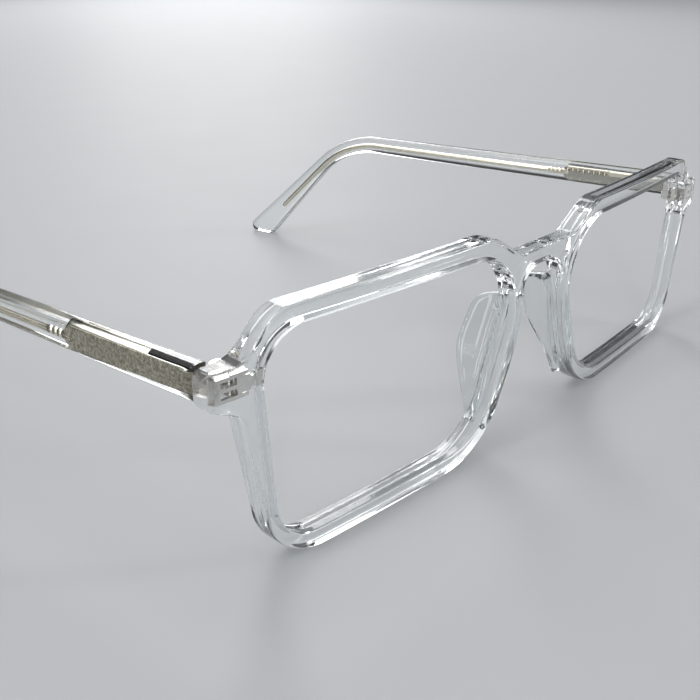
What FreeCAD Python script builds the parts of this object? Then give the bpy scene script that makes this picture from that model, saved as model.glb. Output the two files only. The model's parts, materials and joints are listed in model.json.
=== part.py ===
# Clear acetate eyeglasses frame with metal-cored temples, standing open on a table.
#
# X runs across the face, Y runs back along the temples and Z is up.  Left and right are the
# wearer's, as an optician names them, so the right-hand pieces are on -X.  The origin is on
# the table plane, on the symmetry plane, under the front face of the bridge.  All lengths
# are millimetres, all angles are degrees.
import FreeCAD, Part
import math
import os

# ---------------------------------------------------------------- driving dimensions
# Front: one sheet of acetate, bent to a shallow base curve.
FRONT_RADIUS = 590.0        # radius of the front face about a vertical axis behind it
FRONT_THICKNESS = 3.9
RIM_TOP = 40.0              # height of the rims' top edge
BRIDGE_TOP = 35.0
BRIDGE_ARCH = 31.8          # height of the arch that sits over the nose
HALF_WIDTH = 71.9           # symmetry plane to the outer face of an end piece
END_PIECE_TOP = 33.7
END_PIECE_BOTTOM = 28.6
END_CORNER_RADIUS = 2.0     # plan radius where the front face turns back into the side
JOINT_Y = 7.9               # flat rear face of the end piece, which the temple butts on
OUTER_EDGE_ROUND = 0.9
APERTURE_EDGE_ROUND = 0.5
GROOVE_DEPTH = 0.6          # lens groove in the wall of each lens aperture
GROOVE_WIDTH = 1.2

# Temples: one piece of acetate each, shot over a metal core.
TEMPLE_THICKNESS = 3.1
TEMPLE_TOP = 34.0
TEMPLE_BOTTOM = 28.8
TEMPLE_EDGE_ROUND = 1.0
BUTT_GAP = 0.15             # gap between temple and end piece when fully open
OPEN_ANGLE = 6.0            # a fully open temple points this far outwards
LEFT_REST_FOLD = 16.8       # how far the left temple stands folded in from fully open

# Hinge: five barrels on one screw, three on the front and two on the temple.
PIVOT_X = 66.6
PIVOT_Y = 8.6
HINGE_BOTTOM = 28.9
OUTER_KNUCKLE = 0.6
TEMPLE_KNUCKLE = 1.0
MIDDLE_KNUCKLE = 0.5
KNUCKLE_GAP = 0.04          # axial gap between neighbouring barrels
BARREL_RADIUS = 1.4
BARREL_CLEARANCE = 0.2
SCREW_RADIUS = 0.6
SCREW_RUNNING_FIT = 0.04
HEAD_RADIUS = 0.95
HEAD_HEIGHT = 0.35
LEAF_THICKNESS = 0.9
LEAF_LOW = 29.6             # lower and upper edges of the temple leaf and the core plate
LEAF_HIGH = 32.8
FRONT_LEAF_DEPTH = 2.6      # joint plane to the front of the leaf let into the end piece
COMB_INNER_X = 66.2         # the leaf is a tall comb behind its barrels ...
COMB_OUTER_X = 70.4
COMB_LOW = 29.0
COMB_HIGH = 32.5
COMB_BAR = 0.8              # width of the comb's uprights, on both sides of its windows
TONGUE_INNER_X = 62.8       # ... with a lower tongue that runs towards the lens
TONGUE_LOW = 29.6
TONGUE_HIGH = 31.9
NOTCH_X = 64.4
NOTCH_RADIUS = 0.45
ARM_START = 1.1             # joint plane to the front of the temple leaf's base plate
SLOT_HALF_WIDTH = 0.12
SLOT_DEPTH = 0.18

# Core: a broad flat plate behind the hinge that narrows to a round wire.
CORE_PLATE_START = 9.4      # distances along the temple from the joint plane
CORE_PLATE_END = 27.0
CORE_PLATE_THICKNESS = 1.0
WIRE_RADIUS = 0.65
WIRE_STRAIGHT_END = 80.3
WIRE_BEND_RADIUS = 26.3
WIRE_BEND_ANGLE = 44.0
WIRE_TAIL = 20.0

# Nose pads: a clear leaf bonded to the back of each nasal rim.
PAD_THICKNESS = 1.7
PAD_EDGE_ROUND = 0.7

V = FreeCAD.Vector
UP = V(0, 0, 1)
PAD_ROOT = V(11.3, 3.5, 15.6)
PAD_DOWN = V(0.37, 0, -1)   # the way a pad runs down its rim
PAD_BACK = V(0.25, 0.95, -0.2)
PIVOT = V(PIVOT_X, PIVOT_Y, 0)
HINGE_HEIGHT = 2 * OUTER_KNUCKLE + 2 * TEMPLE_KNUCKLE + MIDDLE_KNUCKLE
HINGE_TOP = HINGE_BOTTOM + HINGE_HEIGHT
CORE_X = HALF_WIDTH - TEMPLE_THICKNESS / 2
CORE_Z = (LEAF_LOW + LEAF_HIGH) / 2


# ---------------------------------------------------------------- outline helpers
def rounded_loop(corners):
    """A closed wire through corners (x, z, radius) in the XZ plane, each corner an arc."""
    count = len(corners)
    stretches = []
    for i, (x, z, radius) in enumerate(corners):
        here = V(x, 0, z)
        back = V(corners[i - 1][0], 0, corners[i - 1][1]) - here
        ahead = V(corners[(i + 1) % count][0], 0, corners[(i + 1) % count][1]) - here
        back.normalize()
        ahead.normalize()
        if radius == 0:
            stretches.append((here, here, here))
            continue
        half = back.getAngle(ahead) / 2
        reach = radius / math.tan(half)
        middle = (back + ahead).normalize() * (radius / math.sin(half) - radius)
        stretches.append((here + back * reach, here + middle, here + ahead * reach))
    edges = []
    for i, (start, middle, end) in enumerate(stretches):
        if (end - start).Length > 1e-6:
            edges.append(Part.Arc(start, middle, end).toShape())
        following = stretches[(i + 1) % count][0]
        if (following - end).Length > 1e-6:
            edges.append(Part.LineSegment(end, following).toShape())
    return Part.Wire(edges)


def plate(wire, y_low, y_high):
    """The XZ outline made a solid between two Y planes."""
    face = Part.Face(wire)
    face.translate(V(0, y_low, 0))
    return face.extrude(V(0, y_high - y_low, 0))


def box(low, high):
    """An axis-aligned box between two corners."""
    size = V(*high) - V(*low)
    return Part.makeBox(size.x, size.y, size.z, V(*low))


def mirrored(shape):
    """The same piece for the other side of the face."""
    return shape.mirror(V(0, 0, 0), V(1, 0, 0))


def cylinder_shell(front_offset, back_offset):
    """The slab between two cylinders about the base curve's axis, measured from the front."""
    axis = V(0, FRONT_RADIUS, -10)
    outer = Part.makeCylinder(FRONT_RADIUS - front_offset, 80, axis, UP)
    inner = Part.makeCylinder(FRONT_RADIUS - back_offset, 80, axis, UP)
    near = box((-90, -5, -10), (90, 30, 70))
    return outer.cut(inner).common(near)


def round_edges(shape, radius, wanted):
    """Round the edges whose middle point passes the test; through-thickness edges stay."""
    chosen = []
    for edge in shape.Edges:
        if len(edge.Vertexes) < 2:
            continue
        start = edge.Vertexes[0].Point
        end = edge.Vertexes[-1].Point
        runs_through = abs(start.x - end.x) < 0.02 and abs(start.z - end.z) < 0.02
        middle = edge.valueAt((edge.FirstParameter + edge.LastParameter) / 2)
        if not runs_through and wanted(middle):
            chosen.append(edge)
    return shape.makeFillet(radius, chosen)


# ---------------------------------------------------------------- front
def front_outline():
    """Outer outline of the front; the +X half is listed from the bridge round to the nose."""
    plus_half = [
        (8.1, BRIDGE_TOP, 5.0),
        (16.4, RIM_TOP, 8.0),
        (61.0, RIM_TOP, 6.0),
        (66.4, END_PIECE_TOP, 5.0),
        (HALF_WIDTH, END_PIECE_TOP, 1.1),
        (HALF_WIDTH, END_PIECE_BOTTOM, 1.2),
        (66.9, 26.3, 2.2),
        (62.4, 0.0, 10.5),
        (15.6, 0.0, 16.0),
        (7.9, 18.0, 30.0),
        (5.4, BRIDGE_ARCH, 4.5),
    ]
    minus_half = [(-x, z, radius) for x, z, radius in reversed(plus_half)]
    return rounded_loop(plus_half + minus_half)


def aperture_outline(grow=0.0):
    """Outline of the left lens aperture, larger by grow all round."""
    corners = [
        (4.0, 36.4, 11.2),
        (64.0, 37.0, 7.2),
        (61.4, 3.1, 7.4),
        (17.0, 3.1, 13.6),
    ]
    wire = rounded_loop(corners)
    if grow == 0.0:
        return wire
    return wire.makeOffset2D(grow)


def lens_groove():
    """The groove that holds a lens's edge, half way through the rim."""
    middle = FRONT_THICKNESS / 2
    slab = cylinder_shell(middle - GROOVE_WIDTH / 2, middle + GROOVE_WIDTH / 2)
    return plate(aperture_outline(GROOVE_DEPTH), -5, 20).common(slab)


def end_plan():
    """What is kept of the end pieces in plan: a rounded outer corner and a flat rear face."""
    corner = END_CORNER_RADIUS
    front_y = HALF_WIDTH ** 2 / (2 * FRONT_RADIUS) - 0.25
    bend = V(HALF_WIDTH - corner, front_y, 0)
    quarter = math.sqrt(0.5)
    middle = V(HALF_WIDTH - corner + corner * quarter, front_y + corner - corner * quarter, 0)
    side = V(HALF_WIDTH, front_y + corner, 0)
    rear = V(HALF_WIDTH, 12, 0)
    far = V(HALF_WIDTH + 10, 12, 0)
    out = V(HALF_WIDTH + 10, -5, 0)
    above = V(HALF_WIDTH - corner, -5, 0)
    edges = [
        Part.LineSegment(above, bend).toShape(),
        Part.Arc(bend, middle, side).toShape(),
        Part.LineSegment(side, rear).toShape(),
        Part.LineSegment(rear, far).toShape(),
        Part.LineSegment(far, out).toShape(),
        Part.LineSegment(out, above).toShape(),
    ]
    return Part.Face(Part.Wire(edges)).extrude(V(0, 0, 60))


def make_front():
    """The bent acetate front, with its apertures, grooves, end pieces and hinge pockets."""
    body = plate(front_outline(), -5, 20).common(cylinder_shell(0, FRONT_THICKNESS))
    aperture = plate(aperture_outline(), -5, 20)
    both_apertures = aperture.fuse(mirrored(aperture))
    body = body.cut(both_apertures)

    def in_aperture(point):
        return both_apertures.isInside(V(point.x, 5, point.z), 0.05, True)

    body = round_edges(body, APERTURE_EDGE_ROUND, in_aperture)
    body = round_edges(body, OUTER_EDGE_ROUND, lambda p: not in_aperture(p) and is_outline_edge(p))
    for waste in (end_plan(), lens_groove()):
        body = body.cut(waste).cut(mirrored(waste))
    return body.cut(box((-90, JOINT_Y, -5), (90, 30, 60)))


def is_outline_edge(point):
    """True on the outer outline's front and back edges, not on the rounded aperture edges."""
    clear = aperture_outline(2 * APERTURE_EDGE_ROUND)
    face = Part.Face(clear)
    return not face.isInside(V(abs(point.x), 0, point.z), 0.01, True)


# ---------------------------------------------------------------- hinges
def knuckles():
    """Low and high z of the five barrels, from the bottom up, with whose each one is."""
    heights = [OUTER_KNUCKLE, TEMPLE_KNUCKLE, MIDDLE_KNUCKLE, TEMPLE_KNUCKLE, OUTER_KNUCKLE]
    spans = []
    low = HINGE_BOTTOM
    for i, height in enumerate(heights):
        spans.append((low + KNUCKLE_GAP / 2, low + height - KNUCKLE_GAP / 2, i % 2 == 1))
        low += height
    return spans


def upright(radius, low, high):
    """A vertical cylinder on the hinge axis."""
    return Part.makeCylinder(radius, high - low, PIVOT + V(0, 0, low), UP)


def make_front_leaf():
    """Leaf let into the end piece: a comb with a window per gap, a tongue and three barrels."""
    plate_y = JOINT_Y - FRONT_LEAF_DEPTH
    back_y = plate_y + LEAF_THICKNESS
    comb = box((COMB_INNER_X, plate_y, COMB_LOW), (COMB_OUTER_X, back_y, COMB_HIGH))
    tongue = box((TONGUE_INNER_X, plate_y, TONGUE_LOW), (COMB_INNER_X, back_y, TONGUE_HIGH))
    leaf = comb.fuse(tongue)
    for z in (TONGUE_LOW, TONGUE_HIGH):
        notch = Part.makeCylinder(NOTCH_RADIUS, 4, V(NOTCH_X, plate_y - 1, z), V(0, 1, 0))
        leaf = leaf.cut(notch)
    for low, high, on_temple in knuckles():
        if on_temple:
            window = box((COMB_INNER_X + COMB_BAR, 0, low), (COMB_OUTER_X - COMB_BAR, back_y, high))
            leaf = leaf.cut(window)
    for low, high, on_temple in knuckles():
        if on_temple:
            continue
        arm = box((PIVOT_X - BARREL_RADIUS, plate_y, low), (PIVOT_X + BARREL_RADIUS, PIVOT_Y, high))
        leaf = leaf.fuse(arm).fuse(upright(BARREL_RADIUS, low, high))
    leaf = leaf.cut(upright(SCREW_RADIUS, HINGE_BOTTOM - 1, HINGE_TOP + 1))
    leaf = leaf.cut(upright(HEAD_RADIUS, HINGE_TOP - HEAD_HEIGHT - KNUCKLE_GAP, HINGE_TOP + 1))
    return leaf.removeSplitter()


def make_temple_leaf():
    """Leaf at the front of the temple's core: a base plate with two barrels, temple straight."""
    base_x = CORE_X - LEAF_THICKNESS / 2
    base = box(
        (base_x, JOINT_Y + ARM_START, LEAF_LOW),
        (base_x + LEAF_THICKNESS, JOINT_Y + CORE_PLATE_START, LEAF_HIGH),
    )
    leaf = base
    for low, high, on_temple in knuckles():
        if not on_temple:
            continue
        arm = box((PIVOT_X, PIVOT_Y - 0.1, low), (base_x + 0.1, PIVOT_Y + 1.3, high))
        leaf = leaf.fuse(arm).fuse(upright(BARREL_RADIUS, low, high))
    leaf = leaf.cut(upright(SCREW_RADIUS + SCREW_RUNNING_FIT, HINGE_BOTTOM, HINGE_TOP))
    return leaf.removeSplitter()


def make_screw():
    """Hinge screw: slotted cheese head and plain shank, from the top barrel to the bottom one."""
    head_low = HINGE_TOP - HEAD_HEIGHT - KNUCKLE_GAP / 2
    head_top = head_low + HEAD_HEIGHT
    shank = upright(SCREW_RADIUS, HINGE_BOTTOM, head_low + 0.05)
    head = upright(HEAD_RADIUS - 0.03, head_low, head_top)
    slot = box(
        (PIVOT_X - 2, PIVOT_Y - SLOT_HALF_WIDTH, head_top - SLOT_DEPTH),
        (PIVOT_X + 2, PIVOT_Y + SLOT_HALF_WIDTH, head_top + 1),
    )
    return shank.fuse(head).cut(slot).removeSplitter()


# ---------------------------------------------------------------- temples
def temple_outline():
    """Side outline of a temple, straight, then turned down and widened to a rounded tip."""
    start = JOINT_Y - 3
    corners = [
        (start, TEMPLE_TOP, 0),
        (JOINT_Y + 91.0, TEMPLE_TOP - 0.4, 28.6),
        (JOINT_Y + 128.6, 0.0, 1.9),
        (JOINT_Y + 117.9, 0.0, 2.5),
        (JOINT_Y + 91.1, TEMPLE_BOTTOM + 0.6, 24.0),
        (start, TEMPLE_BOTTOM, 0),
    ]
    return rounded_loop(corners)


def side_slab(wire, inner_x, outer_x):
    """An outline drawn as (along, z) made a solid between two X planes."""
    slab = plate(wire, inner_x, outer_x)
    turn = FreeCAD.Matrix(0, 1, 0, 0, 1, 0, 0, 0, 0, 0, 1, 0, 0, 0, 0, 1)
    return slab.transformGeometry(turn)


def make_core():
    """Metal core of a temple: plate with a rounded end, then one wire bent down into the tip."""
    low_x = CORE_X - CORE_PLATE_THICKNESS / 2
    radius = (LEAF_HIGH - LEAF_LOW) / 2
    end = JOINT_Y + CORE_PLATE_END
    flat = box(
        (low_x, JOINT_Y + CORE_PLATE_START, LEAF_LOW),
        (low_x + CORE_PLATE_THICKNESS, end - radius, LEAF_HIGH),
    )
    nose = Part.makeCylinder(radius, CORE_PLATE_THICKNESS, V(low_x, end - radius, CORE_Z), V(1, 0, 0))
    wire_start = V(CORE_X, end - 1, CORE_Z)
    bend_start = V(CORE_X, JOINT_Y + WIRE_STRAIGHT_END, CORE_Z)
    angle = math.radians(WIRE_BEND_ANGLE)
    half = angle / 2
    along = WIRE_BEND_RADIUS * math.sin(angle)
    drop = WIRE_BEND_RADIUS * (1 - math.cos(angle))
    bend_end = bend_start + V(0, along, -drop)
    bend_middle = bend_start + V(
        0, WIRE_BEND_RADIUS * math.sin(half), -WIRE_BEND_RADIUS * (1 - math.cos(half)))
    tail_end = bend_end + V(0, math.cos(angle), -math.sin(angle)) * WIRE_TAIL
    path = Part.Wire([
        Part.LineSegment(wire_start, bend_start).toShape(),
        Part.Arc(bend_start, bend_middle, bend_end).toShape(),
        Part.LineSegment(bend_end, tail_end).toShape(),
    ])
    section = Part.Wire(Part.Circle(wire_start, V(0, 1, 0), WIRE_RADIUS).toShape())
    wire = path.makePipeShell([section], True, False)
    dome = Part.makeSphere(WIRE_RADIUS, tail_end)
    return flat.fuse(nose).fuse(wire).fuse(dome).removeSplitter()


def make_temple(core, leaf):
    """Acetate temple, straight, with room for its core and its hinge leaf."""
    body = side_slab(temple_outline(), HALF_WIDTH - TEMPLE_THICKNESS, HALF_WIDTH)
    start = JOINT_Y - 3
    long_edges = [e for e in body.Edges if e.BoundBox.XLength < 0.01 and e.BoundBox.YMax > start + 0.1]
    body = body.makeFillet(TEMPLE_EDGE_ROUND, long_edges)
    body = body.cut(core).cut(leaf)
    return body


# ---------------------------------------------------------------- nose pads
def make_pad():
    """Leaf-shaped pad, bonded to the back of the nasal rim and leaning out from the nose.

    Its outline is drawn as (down the rim, back from the rim), then stood at its root."""
    outline = rounded_loop([
        (-13.0, -0.5, 0),
        (-10.7, 6.0, 3.0),
        (-0.8, 7.1, 10.0),
        (8.8, 2.5, 8.0),
        (15.2, -0.5, 0),
    ])
    leaf = plate(outline, -PAD_THICKNESS / 2, PAD_THICKNESS / 2)
    leaf = round_edges(leaf, PAD_EDGE_ROUND, lambda p: p.z > -0.4)
    across = PAD_BACK.cross(PAD_DOWN).normalize()
    down = V(PAD_DOWN).normalize()
    back = down.cross(across)
    stand = FreeCAD.Matrix(
        down.x, across.x, back.x, PAD_ROOT.x,
        down.y, across.y, back.y, PAD_ROOT.y,
        down.z, across.z, back.z, PAD_ROOT.z,
        0, 0, 0, 1)
    leaf.Placement = FreeCAD.Placement(stand)
    rim = plate(front_outline(), -5, 20).common(cylinder_shell(-4, FRONT_THICKNESS))
    return max(leaf.cut(rim).Solids, key=lambda solid: solid.Volume)


# ---------------------------------------------------------------- assembly
def turned(shape, angle):
    """A left temple's piece turned about its hinge; positive folds it inwards."""
    copy = shape.copy()
    copy.rotate(PIVOT, UP, angle)
    return copy


def make_left_side():
    """Every piece on the +X side, with the temple's own pieces at the fully open angle."""
    front_leaf = make_front_leaf()
    temple_leaf = make_temple_leaf()
    core = make_core()
    butt = box((40, -5, 10), (90, JOINT_Y + BUTT_GAP, 60))
    temple = turned(make_temple(core, temple_leaf), -OPEN_ANGLE).cut(butt)
    return {
        "hinge_front_leaf": front_leaf,
        "hinge_screw": make_screw(),
        "hinge_temple_leaf": turned(temple_leaf, -OPEN_ANGLE),
        "temple_core": turned(core, -OPEN_ANGLE),
        "temple": temple,
    }


def let_in_hinge(front, leaf):
    """The front with pockets for a hinge leaf and room for the barrels to turn."""
    barrel_room = upright(BARREL_RADIUS + BARREL_CLEARANCE, HINGE_BOTTOM - 0.15, HINGE_TOP + 0.15)
    cut_out = leaf.fuse(barrel_room)
    return front.cut(cut_out).cut(mirrored(cut_out))


def main():
    """Make every piece in its rest place and write one file for each."""
    moving = ("hinge_temple_leaf", "temple_core", "temple")
    side = make_left_side()
    front = make_front()
    pad = make_pad()
    pieces = {
        "front": let_in_hinge(front, side["hinge_front_leaf"]),
        "left_nose_pad": pad,
        "right_nose_pad": mirrored(pad),
    }
    for name, shape in side.items():
        pieces["left_" + name] = turned(shape, LEFT_REST_FOLD) if name in moving else shape
        pieces["right_" + name] = mirrored(shape)
    os.makedirs("parts", exist_ok=True)
    for name, shape in pieces.items():
        shape.exportStep("parts/" + name + ".step")


main()
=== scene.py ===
"""Clear acetate eyeglasses frame: finished pieces, materials, stage, lights and camera."""
import json
import math

import bmesh
import bpy
import numpy as np
from mathutils import Matrix, Vector
from mathutils.geometry import delaunay_2d_cdt


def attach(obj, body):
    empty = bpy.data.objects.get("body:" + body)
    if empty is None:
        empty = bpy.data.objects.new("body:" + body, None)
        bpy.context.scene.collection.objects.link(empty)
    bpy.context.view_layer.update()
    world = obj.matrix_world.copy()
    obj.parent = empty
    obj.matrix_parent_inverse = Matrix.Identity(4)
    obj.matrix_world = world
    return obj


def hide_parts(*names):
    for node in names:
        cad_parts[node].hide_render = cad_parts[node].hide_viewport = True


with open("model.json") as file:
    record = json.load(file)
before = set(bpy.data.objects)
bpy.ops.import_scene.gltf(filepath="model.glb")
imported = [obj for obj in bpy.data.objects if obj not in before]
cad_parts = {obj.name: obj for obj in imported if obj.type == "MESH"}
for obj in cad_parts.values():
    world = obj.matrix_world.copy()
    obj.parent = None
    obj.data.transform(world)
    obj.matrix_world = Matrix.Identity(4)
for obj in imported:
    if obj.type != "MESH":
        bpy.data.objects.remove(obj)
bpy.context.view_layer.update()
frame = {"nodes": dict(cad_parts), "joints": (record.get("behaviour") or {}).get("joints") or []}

MM = 0.001

# ---------------------------------------------------------------- sizes, in millimetres
FRONT_RADIUS = 590.0         # of the front face, about a vertical axis behind it
FRONT_THICKNESS = 3.9
RIM_TOP = 40.0
HALF_WIDTH = 71.9            # symmetry plane to the outer face of an end piece
END_PIECE_TOP = 33.7
END_PIECE_BOTTOM = 28.6
END_CORNER_RADIUS = 2.0      # plan radius where the front face turns into the side
END_SETBACK = 0.25           # how far the end piece's face starts in front of the base curve
JOINT_Y = 7.9                # flat rear face of the end piece, which the temple butts on
OUTER_ROUND = 0.6
APERTURE_FRONT_ROUND = 0.45
APERTURE_BACK_ROUND = 0.5
GROOVE_DEPTH = 0.6           # lens groove in the wall of each aperture
GROOVE_WIDTH = 1.2
BRIDGE_RECESS = 0.55         # how far the bridge's front face lies behind the rims'
BRIDGE_STEP_X = 6.9
BRIDGE_STEP_HALF = 0.25      # half the width of the slope at each end of the recess
FRONT_POINT_STEP = 1.2       # distance between points along the front's straight edges
WALL_FADE = 0.7              # depth over which the walls' haze fades out
OUTER_FADE = 0.05            # the same for the mark on an outer face
RING_CLEARANCE = 0.4         # least distance from an inner point to an outline
SAME_POINT = 1e-6            # points closer than this are one point, in an outline's millimetres
SAME_PLACE = 1e-7            # the same for a finished mesh, in metres

TEMPLE_THICKNESS = 3.1
TEMPLE_TOP = 34.0
TEMPLE_BOTTOM = 28.8
TEMPLE_ROUND = 1.15
BUTT_GAP = 0.15              # temple to end piece, fully open
BUTT_REACH = 4.0             # length of temple over which its end is cut to the angle
OPEN_ANGLE = math.radians(6.0)   # a fully open temple points this far outwards
CORE_X = HALF_WIDTH - TEMPLE_THICKNESS / 2
CORE_LOW = 29.6
CORE_HIGH = 32.8
CORE_Z = (CORE_LOW + CORE_HIGH) / 2
PLATE_START = 1.1            # distances along the temple from the joint plane
PLATE_END = 27.0
PLATE_THICKNESS = 1.0
RAIL_RISE = 0.14             # how far the rail stands off the plate
RAIL_THICKNESS = 0.3
RAIL_START = 4.2
RAIL_STEP = 15.2             # where the rail's deep part ends and its thin part begins
RAIL_END = 26.3
BEAD_START = 16.6
BEAD_PITCH = 1.32
BEAD_COUNT = 8
BEAD_Z = 31.75
BEAD_RADIUS = 0.5
NECK_RADIUS = 0.74
NECK_GROOVE_RADIUS = 0.9 * NECK_RADIUS
NECK_ROOT = 1.4              # length of the neck inside the plate
NECK_LEAD = 0.2              # plain length between the plate and the first groove
NECK_TAPER = 0.3             # length from the last ring to the wire's own radius
RINGS_START = 0.4            # plate to first ring
NECK_RINGS = 3
RING_PITCH = 1.1
RING_LENGTH = 1.0
RING_SLOPE = 0.2             # length of the slope at each end of a ring
WIRE_RADIUS = 0.65
WIRE_STRAIGHT_END = 80.3
WIRE_BEND_RADIUS = 26.3
WIRE_BEND_ANGLE = math.radians(44.0)
WIRE_STATION_STEP = 2.0      # distance between stations along the straight part
WIRE_BEND_STATIONS = 25
WIRE_TAIL = 20.0
WIRE_TAIL_STEPS = 8
WIRE_END_STEPS = 6
WIRE_SIDES = 24

PAD_THICKNESS = 1.7
PAD_ROUND = 0.75
PAD_HALF_LENGTH = 12.0
PAD_WIDTH = 7.0
PAD_BOW = 0.8                # how far a pad's ends and tip curl towards the nose
PAD_FLARE = 0.75             # how much thicker a pad is at its root, as a share
PAD_FLARE_AT = 0.1           # distance from the pad's root line to the thickest place
PAD_FLARE_WIDTH = 1.3
PAD_ROOT = np.array((11.3, 3.5, 15.6))
PAD_DOWN = Vector((0.37, 0, -1)).normalized()       # the way a pad runs down its rim
PAD_BACK_HINT = Vector((0.25, 0.95, -0.2))          # roughly the way it leans back

# ---------------------------------------------------------------- looks and stage
IOR_OF_ACETATE = 1.49
ACETATE_TINT = (0.93, 0.955, 0.96, 1)
WALL_HAZE = 0.06
SAND_DARK = (0.20, 0.18, 0.13, 1)
SAND_LIGHT = (0.80, 0.75, 0.60, 1)
PLATE_INNER = (0.46, 0.44, 0.39, 1)
NICKEL_SILVER = (0.90, 0.84, 0.70, 1)
HINGE_METAL = (0.82, 0.80, 0.77, 1)
SCREW_METAL = (0.75, 0.75, 0.76, 1)
FLOOR_COLOUR = (0.40, 0.408, 0.418, 1)
FLOOR_REACH = 40.0           # metres from the middle to each edge of the floor
# The room's brightness by the height of the direction, from level (0) to straight up (1).
ROOM_LEVELS = ((0.0, 0.30), (0.09, 0.30), (0.14, 0.03), (0.50, 0.02), (0.68, 1.05))
ROOM_TINT = (1, 1.01, 1.03)
ROOM_TOP = (1, 1, 1, 1)
LIGHT_TARGET = (0.0, 0.05, 0.02)
# Softboxes: name, place and size in metres, power in watts, colour.
SOFTBOXES = (
    ("overhead", (-0.15, 0.25, 1.3), (0.9, 0.6), 3.0, (1, 1, 1)),
    ("behind", (0.75, 1.0, 0.75), (0.45, 1.3), 10.0, (1, 1, 1)),
    ("side", (-1.0, 0.2, 0.7), (0.3, 1.0), 4.0, (0.96, 0.98, 1.0)),
    ("near_strip", (-0.75, -0.65, 0.30), (0.10, 0.50), 1.6, (1, 1, 1)),
    ("far_strip", (0.75, -0.70, 0.35), (0.12, 0.55), 2.2, (1, 1, 1)),
)
CAMERA_AZIMUTH = math.radians(-47.28)
CAMERA_ELEVATION = math.radians(24.658)
CAMERA_ROLL = math.radians(0.304)
CAMERA_TARGET = Vector((54.13, 97.053, -33.725))    # millimetres, like the distance
CAMERA_DISTANCE = 277.251
CAMERA_LENS = 45.33
CAMERA_SENSOR = 36.0
CAMERA_CLIP = 0.005

HINGE = {joint["child"]: (joint["pos_m"][0] / MM, joint["pos_m"][1] / MM) for joint in frame["joints"]}
PIVOT_X, PIVOT_Y = HINGE["left_temple"]
# At rest each temple stands folded in from fully open by what its joint can still open.
TURN = {joint["child"]: -OPEN_ANGLE - math.radians(joint["range_deg"][0]) for joint in frame["joints"]}


# ---------------------------------------------------------------- shader expressions
class Value:
    """A node socket that takes part in Python arithmetic; each operation adds a Math node."""

    def __init__(self, nodes, socket):
        self.nodes = nodes
        self.socket = socket

    def math(self, operation, *others):
        """A Math node of this value and the others."""
        return self.nodes.add("ShaderNodeMath", {"operation": operation}, dict(enumerate((self,) + others)))

    def __add__(self, other):
        return self.math("ADD", other)

    def __sub__(self, other):
        return self.math("SUBTRACT", other)

    def __rsub__(self, other):
        return self.nodes.add("ShaderNodeMath", {"operation": "SUBTRACT"}, {0: other, 1: self})

    def __mul__(self, other):
        return self.math("MULTIPLY", other)

    __radd__ = __add__
    __rmul__ = __mul__


class Nodes:
    """A node tree, with the one method that adds nodes to it."""

    def __init__(self, tree):
        self.tree = tree

    def add(self, kind, settings=None, inputs=None, output=0):
        """A node of that type, with its settings made first and then its sockets filled."""
        node = self.tree.nodes.new(kind)
        for key, value in (settings or {}).items():
            if key == "stops":
                elements = node.color_ramp.elements
                for i, (place, colour) in enumerate(value):
                    stop = elements[i] if i < len(elements) else elements.new(place)
                    stop.position = place
                    stop.color = colour
            else:
                setattr(node, key, value)
        for key, value in (inputs or {}).items():
            if isinstance(value, Value):
                self.tree.links.new(value.socket, node.inputs[key])
            else:
                node.inputs[key].default_value = value
        return Value(self, node.outputs[output]) if node.outputs else None


class Finish(Nodes):
    """One node material, with a Principled shader and helpers that add nodes to it."""

    def __init__(self, name):
        self.data = bpy.data.materials.new(name)
        self.data.use_nodes = True
        super().__init__(self.data.node_tree)
        self.shader = self.tree.nodes["Principled BSDF"]

    def set(self, **sockets):
        """Fill the Principled shader's sockets by name, with _ for a space."""
        for key, value in sockets.items():
            socket = self.shader.inputs[key.replace("_", " ")]
            if isinstance(value, Value):
                self.tree.links.new(value.socket, socket)
            else:
                socket.default_value = value

    def place(self, scale=(1, 1, 1)):
        """Object coordinates, stretched by scale."""
        coordinates = self.add("ShaderNodeTexCoord", output="Object")
        return self.add("ShaderNodeMapping", None, {"Vector": coordinates, "Scale": scale})

    def noise(self, where, scale, detail=2.0, roughness=0.5):
        """Noise from 0 to 1, finer with a larger scale."""
        return self.add("ShaderNodeTexNoise", None,
                        {"Vector": where, "Scale": scale, "Detail": detail, "Roughness": roughness})

    def mark(self):
        """The mark that a slab's points carry."""
        return self.add("ShaderNodeAttribute", {"attribute_name": "mark"}, output=2)

    def blend(self, share, first, second):
        """The first colour where share is 0, the second where it is 1.

        A Mix node has several sockets of one name, so its colour sockets are picked by number."""
        return self.add("ShaderNodeMix", {"data_type": "RGBA"}, {0: share, 6: first, 7: second}, output=2)

    def bump(self, height, distance, strength):
        """The normal of a bumpy surface; distance is in metres, and is the bump where height is 1."""
        return self.add("ShaderNodeBump", None,
                        {"Height": height, "Distance": distance, "Strength": strength})


def darker(colour, share):
    """The colour with its channels multiplied by share."""
    return [channel * share for channel in colour[:3]] + [1]


def clear_acetate(name):
    """Colourless acetate: faces polished bright, cut walls a little hazy with fine cutting streaks."""
    finish = Finish(name)
    where = finish.place()
    wall = finish.mark()
    haze = finish.noise(where, scale=120.0, detail=3.0)
    waves = finish.noise(where, scale=140.0, detail=1.0)
    streaks = finish.noise(finish.place((1.0, 6.0, 1.0)), scale=700.0)
    height = waves + streaks * wall * 0.25
    finish.set(Base_Color=finish.blend(waves, darker(ACETATE_TINT, 0.975), ACETATE_TINT),
               Roughness=haze * wall * WALL_HAZE + haze * 0.02 + 0.004, IOR=IOR_OF_ACETATE,
               Transmission_Weight=1.0, Normal=finish.bump(height, distance=0.00002, strength=0.7))
    return finish.data


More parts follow.
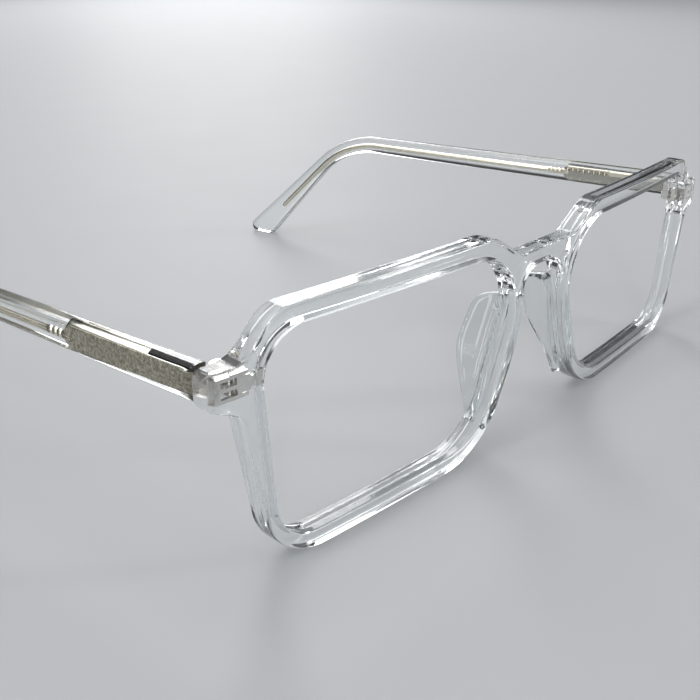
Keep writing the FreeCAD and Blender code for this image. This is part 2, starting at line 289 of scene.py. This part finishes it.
def core_plate_metal(name):
    """Nickel silver: blasted to a fine golden grain on the outer face, polished everywhere else."""
    finish = Finish(name)
    where = finish.place()
    blasted = finish.mark()
    grain = finish.noise(where, scale=2300.0, detail=5.0, roughness=0.7)
    spread = finish.add("ShaderNodeMapRange", None, {0: grain, 1: 0.36, 2: 0.66})
    patches = finish.noise(where, scale=450.0)
    sand = finish.blend(spread, SAND_DARK, SAND_LIGHT)
    finish.set(Base_Color=finish.blend(blasted, PLATE_INNER, sand), Metallic=1.0,
               Roughness=blasted * 0.30 + patches * 0.12 + 0.06,
               Normal=finish.bump(grain * blasted, distance=0.00015, strength=0.9))
    return finish.data


def bright_metal(name, colour, roughness):
    """Bright metal with a faint unevenness in its tone and polish."""
    finish = Finish(name)
    mottle = finish.noise(finish.place(), scale=900.0)
    finish.set(Base_Color=finish.blend(mottle, darker(colour, 0.86), colour), Metallic=1.0,
               Roughness=mottle * 0.12 + (roughness - 0.05),
               Normal=finish.bump(mottle, distance=0.00001, strength=0.5))
    return finish.data


# ---------------------------------------------------------------- outlines
def rounded_loop(corners, arc_step=0.35, line_step=2.5):
    """Points round a closed outline through corners (u, v, radius), each corner an arc."""
    count = len(corners)
    arcs = []
    for i, (u, v, radius) in enumerate(corners):
        here = np.array((u, v))
        back = np.array(corners[i - 1][:2]) - here
        ahead = np.array(corners[(i + 1) % count][:2]) - here
        back = back / np.linalg.norm(back)
        ahead = ahead / np.linalg.norm(ahead)
        if radius == 0:
            arcs.append(np.array([here]))
            continue
        half = math.acos(np.clip(back @ ahead, -1, 1)) / 2
        reach = radius / math.tan(half)
        bisector = (back + ahead) / np.linalg.norm(back + ahead)
        centre = here + bisector * radius / math.sin(half)
        start = here + back * reach - centre
        turn = math.pi - 2 * half
        side = math.copysign(1, back[0] * ahead[1] - back[1] * ahead[0]) * -1
        steps = max(4, math.ceil(turn * radius / arc_step))
        angles = side * np.linspace(0, turn, steps + 1)
        arcs.append(np.array([
            centre + (start[0] * math.cos(a) - start[1] * math.sin(a),
                      start[0] * math.sin(a) + start[1] * math.cos(a)) for a in angles]))
    points = []
    for i, arc in enumerate(arcs):
        points.extend(arc)
        following = arcs[(i + 1) % count][0]
        gap = np.linalg.norm(following - arc[-1])
        steps = math.ceil(gap / line_step)
        for k in range(1, steps):
            points.append(arc[-1] + (following - arc[-1]) * k / steps)
    return np.array(points)


def turned_left(loop):
    """The loop listed anticlockwise, so that what it encloses is on its left."""
    x, y = loop[:, 0], loop[:, 1]
    area = np.sum(x * np.roll(y, -1) - np.roll(x, -1) * y)
    return loop if area > 0 else loop[::-1]


def left_normals(loop):
    """Unit normals to the left of a closed loop."""
    ahead = np.roll(loop, -1, axis=0) - loop
    ahead = ahead / np.linalg.norm(ahead, axis=1)[:, None]
    tangent = ahead + np.roll(ahead, 1, axis=0)
    tangent = tangent / np.linalg.norm(tangent, axis=1)[:, None]
    return np.stack([-tangent[:, 1], tangent[:, 0]], axis=1)


def inside(points, loop):
    """Which points lie inside a closed loop."""
    x, y = points[:, 0][:, None], points[:, 1][:, None]
    ax, ay = loop[:, 0][None], loop[:, 1][None]
    bx, by = np.roll(loop[:, 0], -1)[None], np.roll(loop[:, 1], -1)[None]
    crosses = (ay > y) != (by > y)
    with np.errstate(divide="ignore", invalid="ignore"):
        at = ax + (y - ay) * (bx - ax) / (by - ay)
    return (np.sum(crosses & (x < at), axis=1) % 2) == 1


def edge_profile(thickness, front_round, back_round, groove=None, steps=7, support=0.1):
    """Section of an edge as (distance in from the outline, depth), from front face to back.

    support is how far past each rounding a further row of points lies, which keeps flats flat."""
    profile = [(front_round + support, 0.0)]
    for k in range(steps + 1):
        a = math.pi / 2 * k / steps
        profile.append((front_round * (1 - math.sin(a)), front_round * (1 - math.cos(a))))
    profile.append((0.0, front_round + support))
    if groove:
        depth, width = groove
        middle = thickness / 2
        for rise, into in ((-width / 2 - support, 0.0), (-width / 2, 0.0), (0.0, depth),
                           (width / 2, 0.0), (width / 2 + support, 0.0)):
            profile.append((into, middle + rise))
    profile.append((0.0, thickness - back_round - support))
    for k in range(steps + 1):
        a = math.pi / 2 * k / steps
        profile.append((back_round * (1 - math.cos(a)), thickness - back_round * (1 - math.sin(a))))
    profile.append((back_round + support, thickness))
    return profile


# ---------------------------------------------------------------- meshes
def nearest(points, places):
    """Distance from each place to the nearest of the points."""
    return np.sqrt([np.min(np.sum((points - place) ** 2, axis=1)) for place in places])


def cap(rings, spacing, rows):
    """Triangles over the region between an outer ring and hole rings, with a grid of inner points.

    rows holds further inner points, for where the surface steps. The inner points are returned
    with the triangles, whose indices count the rings' points first."""
    stacked = np.concatenate(rings)
    low, high = rings[0].min(axis=0), rings[0].max(axis=0)
    grid = np.array([(u, v) for u in np.arange(low[0], high[0], spacing)
                     for v in np.arange(low[1], high[1], spacing)]) + spacing / 3
    if len(rows):
        grid = np.concatenate([grid[nearest(rows, grid) > spacing / 2], rows])
    keep = inside(grid, rings[0])
    for ring in rings[1:]:
        keep &= ~inside(grid, ring)
    grid = grid[keep]
    if len(grid):
        grid = grid[nearest(stacked, grid) > RING_CLEARANCE]
    points = np.concatenate([stacked, grid]) if len(grid) else stacked
    edges = []
    first = 0
    for ring in rings:
        count = len(ring)
        edges.extend((first + i, first + (i + 1) % count) for i in range(count))
        first += count
    made = delaunay_2d_cdt([Vector(p) for p in points], edges, [], 0, SAME_POINT, True)
    back_to = [ids[0] for ids in made[3]]
    faces = [[back_to[i] for i in face] for face in made[2]]
    centres = np.array([points[f].mean(axis=0) for f in faces])
    solid = inside(centres, rings[0])
    for ring in rings[1:]:
        solid &= ~inside(centres, ring)
    return grid, [f for f, ok in zip(faces, solid) if ok]


def cut_wall(depth, thickness):
    """1 on a slab's cut walls, fading to 0 on its faces."""
    return np.clip(np.minimum(depth, thickness - depth) / WALL_FADE, 0, 1)


def outer_face(depth, thickness):
    """1 on a slab's outer face and 0 elsewhere."""
    return np.clip((depth - thickness) / OUTER_FADE + 1, 0, 1)


def slab(name, outer, holes, outer_profile, hole_profile, place, spacing=1.5, rows=(), mark=cut_wall):
    """A polished slab: an outline with holes, rounded edges, and any grooves in its walls.

    place(u, v, depth) takes arrays and gives the points in millimetres; mark(depth, thickness)
    gives the attribute that the materials read to tell its surfaces apart."""
    loops = [turned_left(outer)] + [turned_left(hole)[::-1] for hole in holes]
    profiles = [outer_profile] + [hole_profile] * len(holes)
    points, faces, first_rings, last_rings, first_index, last_index = [], [], [], [], [], []
    total = 0
    for loop, profile in zip(loops, profiles):
        normals = left_normals(loop)
        count = len(loop)
        start = total
        for inset, depth in profile:
            ring = loop + normals * inset
            points.append(np.column_stack([ring, np.full(count, depth)]))
            total += count
        first_rings.append(points[-len(profile)][:, :2])
        last_rings.append(points[-1][:, :2])
        first_index.append(np.arange(start, start + count))
        last_index.append(np.arange(total - count, total))
        for k in range(len(profile) - 1):
            here, ahead = start + k * count, start + (k + 1) * count
            faces.extend((here + i, here + (i + 1) % count, ahead + (i + 1) % count, ahead + i)
                         for i in range(count))
    for rings, index, depth in ((first_rings, first_index, outer_profile[0][1]),
                                (last_rings, last_index, outer_profile[-1][1])):
        extra, triangles = cap(rings, spacing, rows)
        lookup = np.concatenate(index + [np.arange(total, total + len(extra))]).astype(int)
        if len(extra):
            points.append(np.column_stack([extra, np.full(len(extra), depth)]))
            total += len(extra)
        faces.extend([int(lookup[i]) for i in triangle] for triangle in triangles)
    u, v, depth = np.concatenate(points).T
    return solid_mesh(name, place(u, v, depth), faces, marks=mark(depth, outer_profile[-1][1]))


def solid_mesh(name, points, faces, crease=32.0, marks=None):
    """A closed mesh object from points in millimetres, smooth except at its creases."""
    mesh = bpy.data.meshes.new(name)
    mesh.from_pydata([tuple(p) for p in points * MM], [], [tuple(int(i) for i in f) for f in faces])
    if marks is not None:
        mesh.attributes.new("mark", "FLOAT", "POINT").data.foreach_set("value", marks)
    work = bmesh.new()
    work.from_mesh(mesh)
    bmesh.ops.remove_doubles(work, verts=work.verts, dist=SAME_PLACE)
    bmesh.ops.recalc_face_normals(work, faces=work.faces)
    open_edges = sum(1 for edge in work.edges if not edge.is_manifold)
    work.to_mesh(mesh)
    work.free()
    if open_edges:
        raise RuntimeError(f"{name} has {open_edges} open edges")
    mesh.polygons.foreach_set("use_smooth", [True] * len(mesh.polygons))
    mesh.set_sharp_from_angle(angle=math.radians(crease))
    thing = bpy.data.objects.new(name, mesh)
    bpy.context.scene.collection.objects.link(thing)
    return thing


def finish_piece(piece, material, body, slot, *nodes):
    """Give a finished piece its material and body, and let it stand for CAD nodes."""
    piece.data.materials.clear()
    piece.data.materials.append(material)
    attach(piece, body)
    if nodes:
        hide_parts(*nodes)


# ---------------------------------------------------------------- front
def front_face_y(x):
    """Depth of the front surface: the base curve, then the rounded plan corner of an end piece."""
    base = x ** 2 / (2 * FRONT_RADIUS)
    radius = END_CORNER_RADIUS
    past = np.clip(np.abs(x) - (HALF_WIDTH - radius), 0, radius)
    end_base = HALF_WIDTH ** 2 / (2 * FRONT_RADIUS) - END_SETBACK
    corner = end_base + radius - np.sqrt(np.maximum(radius ** 2 - past ** 2, 0))
    return np.where(past > 0, np.maximum(base, corner), base)


def place_front(u, v, depth):
    """Bend the flat front to its base curve, and keep the end pieces' rear faces flat."""
    inward = np.clip((BRIDGE_STEP_X + BRIDGE_STEP_HALF - np.abs(u)) / (2 * BRIDGE_STEP_HALF), 0, 1)
    near = front_face_y(u) + BRIDGE_RECESS * inward * inward * (3 - 2 * inward)
    far = np.minimum(u ** 2 / (2 * FRONT_RADIUS) + FRONT_THICKNESS, JOINT_Y)
    y = near + depth / FRONT_THICKNESS * (far - near)
    return np.column_stack([u, y, v])


def upright_rows(across, heights):
    """Upright rows of points at these distances from the symmetry plane, on both sides of it."""
    return np.array([(side * u, v) for side in (-1, 1) for u in across for v in heights])


def make_front(material):
    """Both rims, the bridge and the end pieces, in one piece of acetate."""
    half = [
        (8.1, 35.0, 5.0), (16.4, RIM_TOP, 8.0), (61.0, RIM_TOP, 6.0), (66.4, END_PIECE_TOP, 5.0),
        (HALF_WIDTH, END_PIECE_TOP, 1.1), (HALF_WIDTH, END_PIECE_BOTTOM, 1.2), (66.9, 26.3, 2.2),
        (62.4, 0.0, 10.5), (15.6, 0.0, 16.0), (7.9, 18.0, 30.0), (5.4, 31.8, 4.5),
    ]
    outer = rounded_loop(half + [(-u, v, r) for u, v, r in reversed(half)], line_step=FRONT_POINT_STEP)
    aperture = rounded_loop([(4.0, 36.4, 11.2), (64.0, 37.0, 7.2), (61.4, 3.1, 7.4), (17.0, 3.1, 13.6)],
                            line_step=FRONT_POINT_STEP)
    mirror = aperture * (-1, 1)
    outer_edge = edge_profile(FRONT_THICKNESS, OUTER_ROUND, OUTER_ROUND)
    aperture_edge = edge_profile(FRONT_THICKNESS, APERTURE_FRONT_ROUND, APERTURE_BACK_ROUND,
                                 (GROOVE_DEPTH, GROOVE_WIDTH), steps=5)
    slope = [BRIDGE_STEP_X + across for across in (-BRIDGE_STEP_HALF, -0.08, 0.08, BRIDGE_STEP_HALF)]
    corner = [HALF_WIDTH - across for across in (0.8, 1.2, 1.6, END_CORNER_RADIUS)]
    rows = np.concatenate([upright_rows(slope, np.arange(20, RIM_TOP, 0.35)),
                           upright_rows(corner, np.arange(29.5, 33.2, 0.4))])
    piece = slab("acetate_front", outer, [aperture, mirror], outer_edge, aperture_edge, place_front,
                 rows=rows)
    finish_piece(piece, material, "front", "clear_acetate_front", "front")


# ---------------------------------------------------------------- temples and cores
def temple_placer(body, across_low, along_of=None):
    """A function that lays temple sections out: u along from the joint, v up, depth outwards.

    The pieces are worked out for a straight left temple, then turned about its hinge, and
    mirrored for the right one."""
    angle = TURN[body]
    sign = 1 if HINGE[body][0] > 0 else -1

    def place(u, v, depth):
        x = across_low + depth
        y = JOINT_Y + u
        if along_of is not None:
            y = along_of(x, y)
        dx, dy = x - PIVOT_X, y - PIVOT_Y
        tx = PIVOT_X + dx * math.cos(angle) - dy * math.sin(angle)
        ty = PIVOT_Y + dx * math.sin(angle) + dy * math.cos(angle)
        return np.column_stack([sign * tx, ty, v])

    return place


def butt_cut(x, y):
    """The temple's front end is cut parallel to the end piece when the temple is fully open."""
    rise = JOINT_Y + BUTT_GAP - PIVOT_Y + (x - PIVOT_X) * math.sin(OPEN_ANGLE)
    flush = PIVOT_Y + rise / math.cos(OPEN_ANGLE)
    share = np.clip(1 - (y - JOINT_Y) / BUTT_REACH, 0, 1)
    return y + share * (flush - JOINT_Y)


def make_temple(body, material):
    """A straight acetate side that turns down into a widened tip."""
    outline = rounded_loop([
        (0.0, TEMPLE_TOP, 0.0), (91.0, TEMPLE_TOP - 0.4, 28.6), (128.6, 0.0, 1.9),
        (117.9, 0.0, 2.5), (91.1, TEMPLE_BOTTOM + 0.6, 24.0), (0.0, TEMPLE_BOTTOM, 0.0),
    ])
    profile = edge_profile(TEMPLE_THICKNESS, TEMPLE_ROUND, TEMPLE_ROUND, steps=8)
    place = temple_placer(body, HALF_WIDTH - TEMPLE_THICKNESS, butt_cut)
    piece = slab(body + "_acetate", outline, [], profile, None, place)
    finish_piece(piece, material, body, "clear_acetate_temples", body)


def make_core_plate(body, material):
    """Broad flat part of the core, from the hinge back to its rounded end."""
    radius = (CORE_HIGH - CORE_LOW) / 2
    outline = rounded_loop([
        (PLATE_START, CORE_HIGH, 0.3), (PLATE_END, CORE_HIGH, radius * 0.98),
        (PLATE_END, CORE_LOW, radius * 0.98), (PLATE_START, CORE_LOW, 0.3),
    ], arc_step=0.15)
    profile = edge_profile(PLATE_THICKNESS, 0.18, 0.12, steps=3, support=0.03)
    place = temple_placer(body, CORE_X - PLATE_THICKNESS / 2)
    piece = slab(body + "_core_plate", outline, [], profile, None, place, mark=outer_face)
    finish_piece(piece, material, body, "core_metal", body + "_core")


def make_core_rail(body, material):
    """Raised bright rail along the top of the core's inner face, deeper next to the hinge."""
    outline = rounded_loop([
        (RAIL_START, 32.55, 0.25), (RAIL_STEP, 32.55, 0.3),
        (RAIL_STEP + 0.6, 32.75, 0.3), (RAIL_END, 32.75, 0.2),
        (RAIL_END, 32.25, 0.2), (RAIL_STEP + 1.1, 32.25, 0.3),
        (RAIL_STEP, 31.45, 0.3), (RAIL_START, 31.45, 0.25),
    ], arc_step=0.1)
    profile = edge_profile(RAIL_THICKNESS, 0.1, 0.05, steps=3, support=0.02)
    place = temple_placer(body, CORE_X - PLATE_THICKNESS / 2 - RAIL_RISE)
    piece = slab(body + "_core_rail", outline, [], profile, None, place)
    finish_piece(piece, material, body, "core_metal")


def bead_row_tree(material):
    """Node tree that sets equal beads in a straight row, and the identifiers of its inputs."""
    tree = bpy.data.node_groups.new("bead_row", "GeometryNodeTree")
    ports = {}
    for name, kind in (("First bead", "NodeSocketVector"), ("Step", "NodeSocketVector"),
                       ("Beads", "NodeSocketInt"), ("Radius", "NodeSocketFloat")):
        ports[name] = tree.interface.new_socket(name, in_out="INPUT", socket_type=kind).identifier
    tree.interface.new_socket("Geometry", in_out="OUTPUT", socket_type="NodeSocketGeometry")
    nodes = Nodes(tree)
    first, step, count, radius = (nodes.add("NodeGroupInput", output=name) for name in ports)
    row = nodes.add("GeometryNodeMeshLine", None, {"Start Location": first, "Offset": step, "Count": count})
    bead = nodes.add("GeometryNodeMeshUVSphere", None, {"Radius": radius, "Segments": 20, "Rings": 12})
    smooth = nodes.add("GeometryNodeSetShadeSmooth", None, {"Geometry": bead})
    spread = nodes.add("GeometryNodeInstanceOnPoints", None, {"Points": row, "Instance": smooth})
    real = nodes.add("GeometryNodeRealizeInstances", None, {"Geometry": spread})
    dressed = nodes.add("GeometryNodeSetMaterial", None, {"Geometry": real, "Material": material})
    nodes.add("NodeGroupOutput", None, {"Geometry": dressed})
    return tree, ports


def make_core_beads(body, tree, ports):
    """Row of beads pressed into the core's inner face, under the thin part of the rail."""
    place = temple_placer(body, CORE_X - PLATE_THICKNESS / 2)
    along = np.array((BEAD_START, BEAD_START + BEAD_PITCH))
    first, second = place(along, np.array((BEAD_Z, BEAD_Z)), np.zeros(2)) * MM
    holder = bpy.data.objects.new("bead_holder", bpy.data.meshes.new("bead_holder"))
    bpy.context.scene.collection.objects.link(holder)
    modifier = holder.modifiers.new("beads", "NODES")
    modifier.node_group = tree
    modifier[ports["First bead"]] = first
    modifier[ports["Step"]] = second - first
    modifier[ports["Beads"]] = BEAD_COUNT
    modifier[ports["Radius"]] = BEAD_RADIUS * MM
    depsgraph = bpy.context.evaluated_depsgraph_get()
    mesh = bpy.data.meshes.new_from_object(holder.evaluated_get(depsgraph))
    bpy.data.objects.remove(holder)
    mesh.name = body + "_core_beads"
    piece = bpy.data.objects.new(mesh.name, mesh)
    bpy.context.scene.collection.objects.link(piece)
    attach(piece, body)


def neck_stations():
    """The core's neck: a plain root in the plate's end, then rings with grooves between them."""
    profile = [(PLATE_END - NECK_ROOT, NECK_RADIUS), (PLATE_END + NECK_LEAD, NECK_RADIUS)]
    for ring in range(NECK_RINGS):
        start = PLATE_END + RINGS_START + ring * RING_PITCH
        end = start + RING_LENGTH
        profile += [(start, NECK_GROOVE_RADIUS), (start + RING_SLOPE, NECK_RADIUS),
                    (end - RING_SLOPE, NECK_RADIUS), (end, NECK_GROOVE_RADIUS)]
    return [(along, CORE_Z, 0.0, radius) for along, radius in profile]


def wire_path():
    """Centre line of the core's neck and wire: along, z, slope and radius at each station."""
    stations = neck_stations()
    neck_end = stations[-1][0] + NECK_TAPER
    for along in np.arange(neck_end, WIRE_STRAIGHT_END - 1, WIRE_STATION_STEP):
        stations.append((along, CORE_Z, 0.0, WIRE_RADIUS))
    for angle in np.linspace(0, WIRE_BEND_ANGLE, WIRE_BEND_STATIONS):
        stations.append((WIRE_STRAIGHT_END + WIRE_BEND_RADIUS * math.sin(angle),
                         CORE_Z - WIRE_BEND_RADIUS * (1 - math.cos(angle)), angle, WIRE_RADIUS))
    along, z, angle, radius = stations[-1]
    for k in range(1, WIRE_TAIL_STEPS + 1):
        step = WIRE_TAIL * k / WIRE_TAIL_STEPS
        stations.append((along + step * math.cos(angle), z - step * math.sin(angle), angle, radius))
    along, z = stations[-1][:2]
    for k in range(1, WIRE_END_STEPS):
        tip = math.pi / 2 * k / WIRE_END_STEPS
        stations.append((along + radius * math.sin(tip) * math.cos(angle),
                         z - radius * math.sin(tip) * math.sin(angle), angle, radius * math.cos(tip)))
    return stations


def make_core_wire(body, material):
    """Ringed neck and round wire of the core, bent down into the tip."""
    place = temple_placer(body, CORE_X)
    stations = wire_path()
    points, faces = [], []
    for along, z, slope, radius in stations:
        for k in range(WIRE_SIDES):
            t = 2 * math.pi * k / WIRE_SIDES
            up = radius * math.cos(t)
            points.append((along + up * math.sin(slope), z + up * math.cos(slope), radius * math.sin(t)))
    for row in range(len(stations) - 1):
        here, ahead = row * WIRE_SIDES, (row + 1) * WIRE_SIDES
        for k in range(WIRE_SIDES):
            beside = (k + 1) % WIRE_SIDES
            faces.append((here + k, here + beside, ahead + beside, ahead + k))
    faces.append(tuple(range(WIRE_SIDES)))
    faces.append(tuple(range(len(points) - WIRE_SIDES, len(points))))
    along, z, across = np.array(points).T
    piece = solid_mesh(body + "_core_wire", place(along, z, across), faces, crease=40)
    finish_piece(piece, material, body, "core_metal")


# ---------------------------------------------------------------- nose pads
def make_pad(side, material):
    """A clear leaf that leans back from the nasal rim, thicker where it flows into the rim."""
    across = PAD_BACK_HINT.cross(PAD_DOWN).normalized()
    back = PAD_DOWN.cross(across)
    outline = rounded_loop([
        (-13.0, -0.5, 1.0), (-10.7, 6.1, 4.0), (-0.8, 7.1, 10.0), (8.8, 2.5, 8.0), (15.2, -0.5, 1.0),
    ], arc_step=0.3, line_step=0.8)
    sign = 1 if side == "left" else -1

    def place(u, v, depth):
        flare = 1 + PAD_FLARE * np.exp(-((v - PAD_FLARE_AT) / PAD_FLARE_WIDTH) ** 2)
        bow = PAD_BOW * ((u / PAD_HALF_LENGTH) ** 2 + (np.maximum(v, 0) / PAD_WIDTH) ** 2)
        spot = (PAD_ROOT[None] + np.outer(u, PAD_DOWN) + np.outer(v, back)
                + np.outer((depth - PAD_THICKNESS / 2) * flare + bow, across))
        return spot * (sign, 1, 1)

    edge = edge_profile(PAD_THICKNESS, PAD_ROUND, PAD_ROUND, steps=7, support=0.05)
    piece = slab(side + "_pad", outline, [], edge, None, place, spacing=0.8)
    finish_piece(piece, material, "front", "clear_acetate_pads", side + "_nose_pad")


# ---------------------------------------------------------------- stage
def make_stage():
    """Pale floor that runs past everything the camera can see."""
    mesh = bpy.data.meshes.new("floor")
    corners = [(x * FLOOR_REACH, y * FLOOR_REACH, 0) for x, y in ((-1, -1), (1, -1), (1, 1), (-1, 1))]
    mesh.from_pydata(corners, [], [(0, 1, 2, 3)])
    floor = bpy.data.objects.new("floor", mesh)
    bpy.context.scene.collection.objects.link(floor)
    finish = Finish("pale_floor")
    mottle = finish.noise(finish.place(), scale=30.0, detail=3.0)
    finish.set(Base_Color=FLOOR_COLOUR, Roughness=mottle * 0.08 + 0.55, Specular_IOR_Level=0.12)
    mesh.materials.append(finish.data)


def soft_light(name, place, size, power, colour):
    """A rectangular softbox that faces the object."""
    data = bpy.data.lights.new(name, "AREA")
    data.shape = "RECTANGLE"
    data.size, data.size_y = size
    data.energy = power
    data.color = colour
    lamp = bpy.data.objects.new(name, data)
    lamp.location = place
    lamp.rotation_euler = (Vector(LIGHT_TARGET) - Vector(place)).to_track_quat("-Z", "Y").to_euler()
    bpy.context.scene.collection.objects.link(lamp)


def make_room():
    """A room that is pale low down and overhead, and darker between."""
    world = bpy.data.worlds.new("studio")
    world.use_nodes = True
    nodes = Nodes(world.node_tree)
    direction = nodes.add("ShaderNodeTexCoord", output="Generated")
    height = nodes.add("ShaderNodeSeparateXYZ", None, {0: direction}, output="Z")
    stops = [(place, [level * channel for channel in ROOM_TINT] + [1]) for place, level in ROOM_LEVELS]
    shade = nodes.add("ShaderNodeValToRGB", {"stops": stops + [(1.0, ROOM_TOP)]}, {0: height})
    world.node_tree.links.new(shade.socket, world.node_tree.nodes["Background"].inputs["Color"])
    bpy.context.scene.world = world


def make_camera():
    """The viewing angle: right-hand end piece near, left temple far, looking slightly down."""
    data = bpy.data.cameras.new("camera")
    data.sensor_width = CAMERA_SENSOR
    data.lens = CAMERA_LENS
    data.clip_start = CAMERA_CLIP
    camera = bpy.data.objects.new("camera", data)
    back = Vector((math.sin(CAMERA_AZIMUTH) * math.cos(CAMERA_ELEVATION),
                   -math.cos(CAMERA_AZIMUTH) * math.cos(CAMERA_ELEVATION), math.sin(CAMERA_ELEVATION)))
    camera.location = CAMERA_TARGET * MM + back * CAMERA_DISTANCE * MM
    aim = (-back).to_track_quat("-Z", "Y").to_matrix() @ Matrix.Rotation(CAMERA_ROLL, 3, "Z")
    camera.rotation_euler = aim.to_euler()
    bpy.context.scene.collection.objects.link(camera)
    bpy.context.scene.camera = camera


def set_render():
    """Enough bounces for light to cross several walls of acetate."""
    scene = bpy.context.scene
    scene.cycles.max_bounces = 24
    scene.cycles.transmission_bounces = 20
    scene.cycles.glossy_bounces = 8
    scene.view_settings.view_transform = "Standard"


def dress_hinges():
    """Give the hinges' own leaves and screws their metals."""
    leaf = bright_metal("bright_hinge_metal", HINGE_METAL, 0.2)
    screw = bright_metal("screw_steel", SCREW_METAL, 0.22)
    for side in ("left", "right"):
        for part, metal in (("_hinge_front_leaf", leaf), ("_hinge_temple_leaf", leaf),
                            ("_hinge_screw", screw)):
            node = frame["nodes"][side + part]
            node.data.materials.clear()
            node.data.materials.append(metal)


def main():
    """Build everything: camera, pieces, stage and lights."""
    make_camera()
    acetate = clear_acetate("clear_acetate")
    plate_metal = core_plate_metal("blasted_nickel_silver")
    wire_metal = bright_metal("drawn_nickel_silver", NICKEL_SILVER, 0.16)
    beads, bead_ports = bead_row_tree(wire_metal)
    make_front(acetate)
    for body in ("left_temple", "right_temple"):
        make_temple(body, acetate)
        make_core_plate(body, plate_metal)
        make_core_rail(body, wire_metal)
        make_core_beads(body, beads, bead_ports)
        make_core_wire(body, wire_metal)
    for side in ("left", "right"):
        make_pad(side, acetate)
    dress_hinges()
    make_stage()
    make_room()
    for name, place, size, power, colour in SOFTBOXES:
        soft_light(name, place, size, power, colour)
    set_render()


main()
